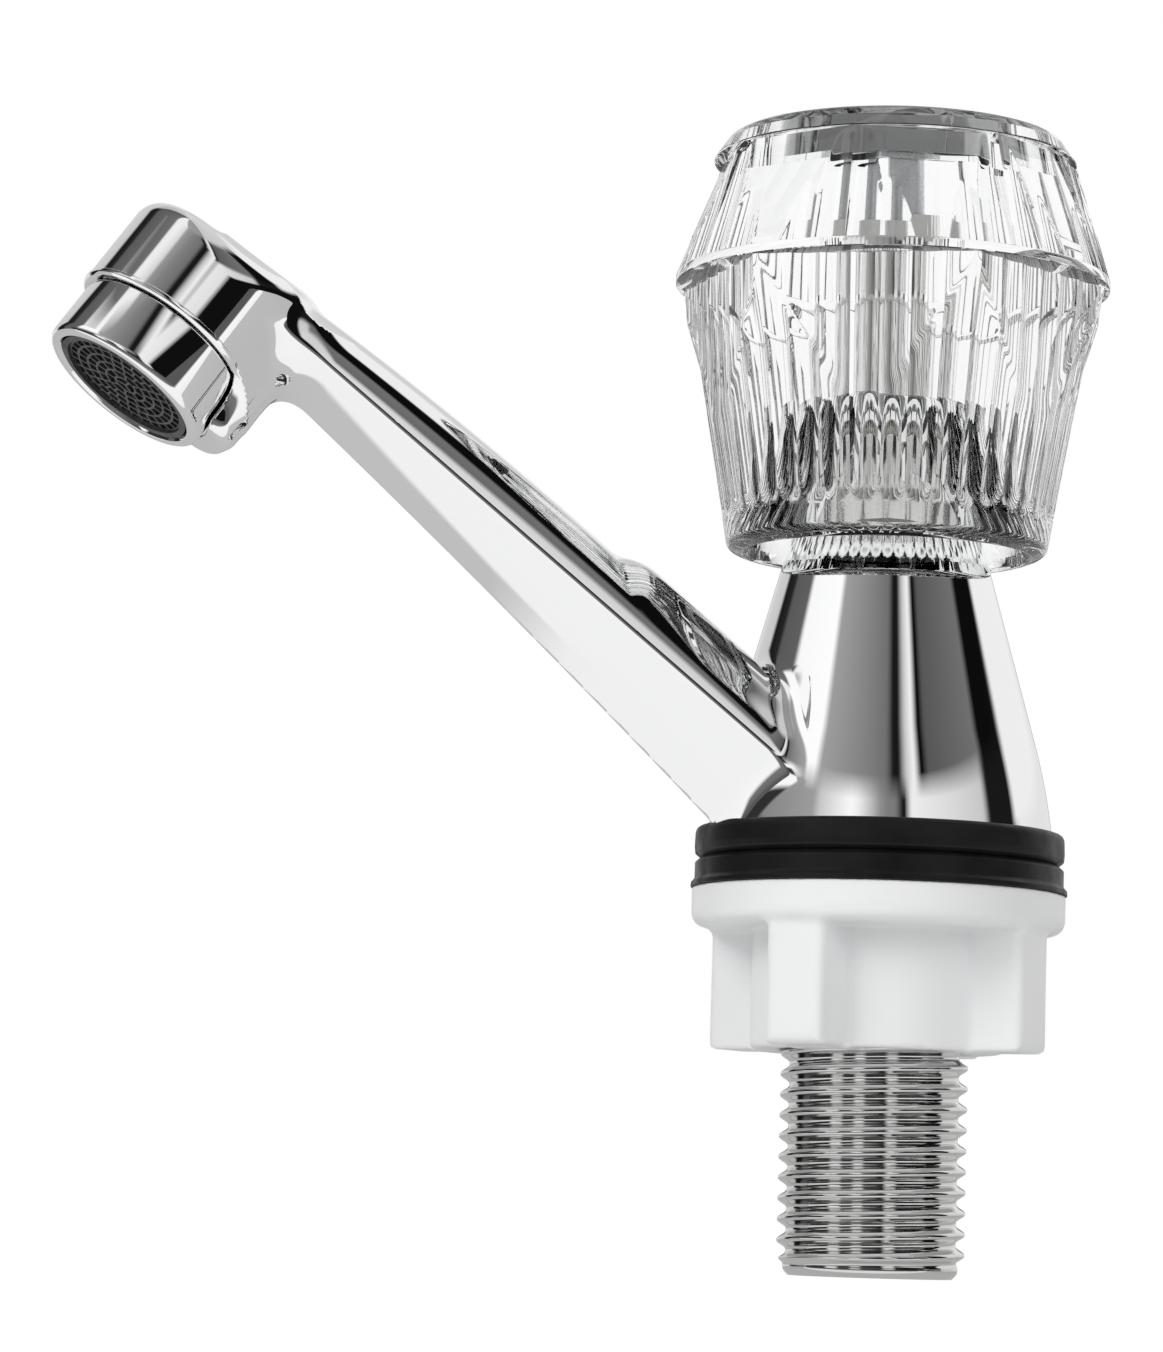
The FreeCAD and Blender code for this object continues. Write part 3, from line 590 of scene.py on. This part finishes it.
def dark_chrome():
    """The cap's plating: polished like a mirror, but smoky."""
    material, links, surface, add = shader("dark_chrome")
    surface.inputs["Base Color"].default_value = (0.32, 0.32, 0.325, 1)
    surface.inputs["Metallic"].default_value = 1
    haze, _ = mottled(add, links, 160, 0.02, 0.06)
    links.new(haze, surface.inputs["Roughness"])
    _, wave = mottled(add, links, 700, 0, 1, detail=2.0)
    relief(add, links, surface, wave, 0.1, 0.00002)
    return material


def plated_steel():
    """Zinc-plated steel: bluish grey with soft clouds and scratches."""
    material, links, surface, add = shader("plated_steel")
    surface.inputs["Base Color"].default_value = (0.62, 0.63, 0.65, 1)
    surface.inputs["Metallic"].default_value = 1
    cloud, _ = mottled(add, links, 600, 0.18, 0.36)
    links.new(cloud, surface.inputs["Roughness"])
    _, marks = mottled(add, links, 1800, 0, 1, stretch=(1, 0.1, 1))
    relief(add, links, surface, marks, 0.2, 0.00002)
    return material


GIRDLE_R = 24.76
GIRDLE_TOP = 66.8
GIRDLE_FOOT = 65.7
SHOULDER = 80.2
MOUTH_R = 15.6
MOUTH = 36.2
SKIRT_FOOT = 38.3
HOLLOW_TOP = 52.0
INSERT_R = 5.65
INSERT_TOP = 69.5
SCREW_R = 3.05
SCREW_SEAT = 76.4
WASHER_R = 13.05
CAP_R = 18.35
CAP_SEAT = 81.5
WINDOWS = 8
FACETS = 6
FLUTES = 40
FLUTE_TURN = 2 * math.pi / FLUTES
FLUTE_END = 1.6
FIRST_FLUTE = math.radians(-17.6)


def groove(offset, height, low, high, depth):
    """Depth of a shallow flute with rounded ends, by its angle off the middle and its height."""
    run = np.maximum(low + FLUTE_END - height, 0) + np.maximum(height - high + FLUTE_END, 0)
    return depth * np.maximum(1 - (2 * offset / FLUTE_TURN) ** 2 - (run / FLUTE_END) ** 2, 0)


def crown_radius(height, turn, flute):
    """Crown: a cone cut by flutes and by eight flat windows."""
    cone = GIRDLE_R - (height - GIRDLE_TOP) * 0.297
    step = 2 * math.pi / WINDOWS
    window_turn = (turn - FIRST_FLUTE + step / 2) % step - step / 2
    window = (24.68 - (height - GIRDLE_TOP) * 0.409) / np.cos(window_turn)
    fluted = np.abs(window_turn) > FLUTE_TURN / 2
    cut = groove(flute, height, GIRDLE_TOP - 9, SHOULDER + 0.6, 0.55) * fluted
    return np.minimum(cone - cut, window)


def skirt_radius(height, turn, flute):
    """Skirt: a cone that opens upward, with six wide facets and flutes all round."""
    cone = 18.55 + (height - 37.9) * 0.1766 + np.maximum(height - 56.3, 0) * 0.138
    step = 2 * math.pi / FACETS
    facet_turn = (turn - FIRST_FLUTE + 2 * FLUTE_TURN + step / 2) % step - step / 2
    facet = (20.6 + (height - 49.5) * 0.052) / np.cos(facet_turn)
    return soft_min(cone, facet, 0.12) - groove(flute, height, 38.7, GIRDLE_FOOT + 9, 0.42)


def knob_skin():
    """Rings from the mouth up the outside, over the rim and down the hollow inside."""
    per_flute = 16
    steps = FLUTES * per_flute
    turn = FIRST_FLUTE - FLUTE_TURN / 2 + np.arange(steps) * 2 * math.pi / steps
    flute = (np.arange(steps) % per_flute) / per_flute * FLUTE_TURN - FLUTE_TURN / 2
    rings = []

    def plain(corners):
        for radius, height in corners:
            rings.append((np.full(steps, radius), height))

    lip = soften([(MOUTH_R, MOUTH, 0), (16.35, 34.8, 0.5), (18.15, 35.5, 1.4),
                  (18.62, SKIRT_FOOT, 0)], 8)
    plain(lip[:-1])
    for height in np.linspace(SKIRT_FOOT, GIRDLE_FOOT, 58):
        rings.append((skirt_radius(height, turn, flute), height))
    plain([(24.5, GIRDLE_FOOT), (24.68, GIRDLE_FOOT + 0.03), (GIRDLE_R, GIRDLE_FOOT + 0.12),
           (GIRDLE_R, GIRDLE_TOP - 0.12), (24.7, GIRDLE_TOP)])
    for height in np.linspace(GIRDLE_TOP, SHOULDER, 38):
        rings.append((crown_radius(height, turn, flute), height))
    plain([(20.7, SHOULDER), (20.75, SHOULDER + 0.1), (20.6, SHOULDER + 0.35),
           (19.3, SHOULDER + 2.2), (19.1, SHOULDER + 2.42), (18.95, SHOULDER + 2.5),
           (CAP_R, SHOULDER + 2.5), (CAP_R, CAP_SEAT), (WASHER_R, CAP_SEAT), (WASHER_R, SCREW_SEAT),
           (SCREW_R, SCREW_SEAT), (SCREW_R, INSERT_TOP), (INSERT_R, INSERT_TOP),
           (INSERT_R, HOLLOW_TOP), (9.1, HOLLOW_TOP), (9.35, HOLLOW_TOP - 0.1),
           (9.5, HOLLOW_TOP - 0.4), (MOUTH_R, MOUTH)])
    radius = np.stack([ring for ring, _ in rings])
    height = np.array([level for _, level in rings])[:, None]
    points = np.stack([radius * np.cos(turn), radius * np.sin(turn), height + 0 * turn], -1)
    row = np.arange(len(rings) - 1)[:, None] * steps
    column = np.arange(steps)[None, :]
    after = (column + 1) % steps
    faces = np.stack([row + column, row + after, row + steps + after, row + steps + column], -1)
    return skin("clear_knob", points.reshape(-1, 3), faces.reshape(-1, 4), crease=30)


clear = knob_skin()
clear.data.materials.append(clear_acrylic())
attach(clear, "control")
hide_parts("knob")
refinish(("knob_screw", "knob_screw_washer", "aerator_lower_screen", "aerator_upper_screen"),
         plated_steel())
refinish(("headwork_body", "spindle", "knob_insert"), bright_nickel())
refinish(("knob_cap",), dark_chrome())


# Aerator: a chromed housing screwed into the collar, with a black plastic cup inside that
# carries a jet plate, two fine screens and the web that the water leaves through.
def black_plastic():
    """Moulded black plastic: satin, faintly grained."""
    material, links, surface, add = shader("black_plastic")
    shade, _ = mottled(add, links, 700, 0.0, 1.0)
    tint = add("ShaderNodeMix", data_type="RGBA")
    tint.inputs["A"].default_value = (0.02, 0.02, 0.021, 1)
    tint.inputs["B"].default_value = (0.05, 0.05, 0.052, 1)
    links.new(shade, tint.inputs["Factor"])
    links.new(tint.outputs["Result"], surface.inputs["Base Color"])
    gloss, _ = mottled(add, links, 900, 0.28, 0.45)
    links.new(gloss, surface.inputs["Roughness"])
    return material


housing = turned_skin("chromed_aerator_housing", [
    (8.9, -2.1, 0), (8.9, -7.35, 0), (9.3, -7.55, 0.1),
    (HOUSING_R, -7.85, 0.15), (HOUSING_R, -14.8, 0.9),
    (8.35, -14.8, 0.3), (8.05, -14.3, 0.15), (8.05, -2.1, 0.1), (8.9, -2.1, 0),
], outlet=True)
housing.data.materials.append(chrome)
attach(housing, "base")
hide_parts("aerator_housing")
refinish(("aerator_insert", "aerator_outlet_grid", "aerator_jet_plate"),
         black_plastic())


# Studio: a pale floor under the tap that glows with painted bands and a painted shadow, a
# surround of white, grey and dark cards that the plating mirrors, and two broad soft lamps.
scene = bpy.context.scene
scene.view_settings.view_transform = "Standard"
# Each card: the compass degree where it starts, its tone there, and its tone where it ends.
HIGH_CARDS = ((-180, 0.75, 0.6), (-131, 0.01, 0.02), (-114, 0.11, 0.12), (-88, 1.0, 1.05),
              (-48, 0.36, 0.17), (6, 0.01, 0.01), (16, 0.6, 0.95), (27, 0.005, 0.005),
              (33, 0.1, 0.17), (80, 0.004, 0.004), (106, 0.9, 0.9), (150, 0.7, 0.6))
TOP_CARDS = ((-180, 0.6, 0.5), (-125, 0.1, 0.16), (-58, 0.9, 0.9), (-28, 0.35, 0.3), (20, 0.6, 0.7))
MIDDLE_CARDS = ((-180, 0.7, 0.6), (-131, 0.01, 0.02), (-114, 0.1, 0.1), (-88, 0.25, 0.35),
                (-45, 0.6, 1.0), (-18, 0.9, 0.3), (2, 0.22, 0.2), (13, 0.01, 0.01),
                (19, 0.9, 0.6), (78, 0.01, 0.01), (104, 0.9, 0.9))
LOW_CARDS = ((-180, 0.2, 0.2), (-171, 0.75, 0.75), (-131, 0.01, 0.01), (-114, 0.12, 0.12),
             (-100, 0.03, 0.03), (-60, 1.0, 1.0), (-44, 0.05, 0.05), (-26, 1.0, 1.0),
             (-13, 0.04, 0.03), (6, 0.01, 0.01), (17, 0.8, 0.8), (32, 0.005, 0.005),
             (108, 0.8, 0.8), (171, 0.2, 0.2))
CLEAR_CARDS = ((-180, 1.0, 1.0), (-146, 0.1, 0.1), (-137, 1.0, 1.0), (-112, 0.02, 0.02),
               (-98, 1.0, 1.0), (-48, 0.45, 0.25), (6, 0.01, 0.01), (17, 1.0, 1.0),
               (40, 0.1, 0.15), (62, 1.0, 1.0), (84, 0.02, 0.02), (98, 1.0, 1.0),
               (137, 0.1, 0.1), (146, 1.0, 1.0))
CAMERA_SIDE = -27.6
SOFT_EDGE = 2.6
FLOOR_BAND = 0.3
FLOOR_HEIGHT = -0.1
TAP_MIDDLE = Vector((0, -0.02, 0.02))
CAMERA_PLACE = Vector((457.87, -239.37, -39.77))
CAMERA_RIGHT = Vector((0.4067, 0.9130, 0.0307))
CAMERA_FORWARD = Vector((-0.9088, 0.4010, 0.1156))


def ramp(add, stops):
    """Ramp of greys from (position, tone) stops."""
    node = add("ShaderNodeValToRGB")
    elements = node.color_ramp.elements
    while len(elements) < len(stops):
        elements.new(1.0)
    for element, (position, tone) in zip(elements, stops):
        element.position = min(max(position, 0), 1)
        element.color = (tone, tone, tone, 1)
    return node


def surround():
    """World whose brightness changes with compass direction like a ring of cards."""
    world = bpy.data.worlds.new("surround")
    world.use_nodes = True
    tree = world.node_tree
    links = tree.links
    add, figure, blended = maker(tree)
    split = add("ShaderNodeSeparateXYZ")
    links.new(add("ShaderNodeTexCoord").outputs["Generated"], split.inputs["Vector"])
    angle = figure("ARCTAN2", split.outputs["Y"], split.outputs["X"])
    share = figure("MULTIPLY_ADD", angle, 1 / (2 * math.pi), 0.5 - CAMERA_SIDE / 360)
    turn = figure("FRACT", share)

    def card_ring(cards):
        """Ring of cards, each as (start, tone at its start, tone at its end), with soft edges."""
        stops = []
        for (start, first, last), following in zip(cards, cards[1:] + ((180, 0, 0),)):
            soft = min(SOFT_EDGE, (following[0] - start) / 3)
            stops.append(((start + 180 + soft) / 360, first))
            stops.append(((following[0] + 180 - soft) / 360, last))
        ring = ramp(add, stops)
        links.new(turn, ring.inputs["Fac"])
        return ring.outputs["Color"]

    def above(low, high, below_colour, above_colour):
        """One ring below a height and another above it; heights as the sine of the elevation."""
        height = add("ShaderNodeMapRange", **{"From Min": low, "From Max": high})
        links.new(split.outputs["Z"], height.inputs["Value"])
        return blended(height.outputs["Result"], below_colour, above_colour)

    foot = above(0.19, 0.25, card_ring(LOW_CARDS), card_ring(MIDDLE_CARDS))
    sides = above(0.38, 0.46, foot, card_ring(HIGH_CARDS))
    top = above(0.74, 0.82, sides, card_ring(TOP_CARDS))
    clear_top = above(0.7, 0.8, card_ring(CLEAR_CARDS), (0.9, 0.9, 0.9, 1))
    path = add("ShaderNodeLightPath").outputs
    cards = blended(path["Is Transmission Ray"], top, clear_top)
    seen = blended(path["Is Camera Ray"], cards, (1, 1, 1, 1))
    links.new(seen, tree.nodes["Background"].inputs["Color"])
    scene.world = world


def pale_floor():
    """White floor that keeps the shadow; it glows, and shows plating and acrylic painted bands of
    light and a painted shadow of the tap.
    """
    material = bpy.data.materials.new("pale_floor")
    material.use_nodes = True
    tree = material.node_tree
    links = tree.links
    add, figure, blended = maker(tree)
    surface = tree.nodes["Principled BSDF"]
    surface.inputs["Base Color"].default_value = (0.92, 0.92, 0.92, 1)
    surface.inputs["Roughness"].default_value = 0.9
    path = add("ShaderNodeLightPath").outputs
    place = add("ShaderNodeTexCoord").outputs["Object"]
    away = add("ShaderNodeVectorMath", operation="LENGTH")
    links.new(place, away.inputs[0])
    across = add("ShaderNodeVectorMath", operation="DOT_PRODUCT")
    across.inputs[1].default_value = (-1, 0.72, 0)
    links.new(place, across.inputs[0])

    def bands(steps):
        """Painted tones across the floor, at distances from one side of the tap to the other."""
        spread = add("ShaderNodeMapRange", **{"From Min": -FLOOR_BAND, "From Max": FLOOR_BAND})
        links.new(across.outputs["Value"], spread.inputs["Value"])
        tones = ramp(add, [((reach + FLOOR_BAND) / (2 * FLOOR_BAND), tone) for reach, tone in steps])
        links.new(spread.outputs["Result"], tones.inputs["Fac"])
        return tones.outputs["Color"]

    # Painted reflection for plating: a dark band far off, a bright band on the camera's side, and a
    # painted shadow of the tap, about half as bright, under and behind it.
    painted_mirror_tones = bands(((-0.29, 0.1), (-0.22, 1.0), (-0.052, 0.95), (-0.045, 0.53), (0.25, 0.5)))
    # Painted reflection for acrylic: a dark band far off, then bright.
    through = bands(((-0.29, 0.45), (-0.22, 1.0)))
    tone = blended(path["Is Transmission Ray"], painted_mirror_tones, through, "FLOAT")
    level = figure("MAXIMUM", tone, path["Is Camera Ray"])
    onto_tap = figure("MULTIPLY_ADD", path["Is Diffuse Ray"], -0.55, 1.0)
    # The floor glows though it is no lamp: painted light for camera, plating and acrylic rays, and
    # weaker glow onto the tap.
    glow = add("ShaderNodeEmission")
    links.new(figure("MULTIPLY", level, onto_tap), glow.inputs["Strength"])
    bent = figure("MAXIMUM", path["Is Glossy Ray"], path["Is Transmission Ray"])
    ray = figure("MAXIMUM", path["Is Camera Ray"], bent)
    far = add("ShaderNodeMapRange", **{"From Min": 0.3, "From Max": 0.9, "To Min": 0.9})
    links.new(away.outputs["Value"], far.inputs["Value"])
    blend = add("ShaderNodeMixShader")
    links.new(figure("MULTIPLY", ray, far.outputs["Result"]), blend.inputs[0])
    links.new(surface.outputs[0], blend.inputs[1])
    links.new(glow.outputs[0], blend.inputs[2])
    links.new(blend.outputs[0], tree.nodes["Material Output"].inputs["Surface"])
    return material


def soft_lamp(name, place, size, watts):
    """Round lamp aimed at the tap; plating and acrylic don't show it."""
    lamp = bpy.data.objects.new(name, bpy.data.lights.new(name, "AREA"))
    lamp.data.shape = "DISK"
    lamp.data.size = size
    lamp.data.energy = watts
    lamp.location = place
    lamp.rotation_euler = (TAP_MIDDLE - Vector(place)).to_track_quat("-Z", "Y").to_euler()
    lamp.visible_glossy = False
    lamp.visible_transmission = False
    scene.collection.objects.link(lamp)


surround()
bpy.ops.mesh.primitive_plane_add(size=6, location=(0, 0, FLOOR_HEIGHT))
floor = bpy.context.object
floor.name = "studio_floor"
floor.data.materials.append(pale_floor())
soft_lamp("left_lamp", (0.25, -0.75, 0.45), 0.5, 3.4)
soft_lamp("camera_lamp", (0.8, 0.1, 0.35), 0.6, 1.8)

camera = bpy.data.objects.new("camera", bpy.data.cameras.new("camera"))
scene.collection.objects.link(camera)
right = CAMERA_RIGHT.normalized()
forward = (CAMERA_FORWARD - right * CAMERA_FORWARD.dot(right)).normalized()
upward = right.cross(forward)
facing = Matrix((right, upward, -forward)).transposed().to_4x4()
camera.matrix_world = Matrix.Translation(CAMERA_PLACE * MM) @ facing
camera.data.lens = 122.0
camera.data.sensor_width = 36.0
camera.data.clip_start = 0.01
scene.camera = camera
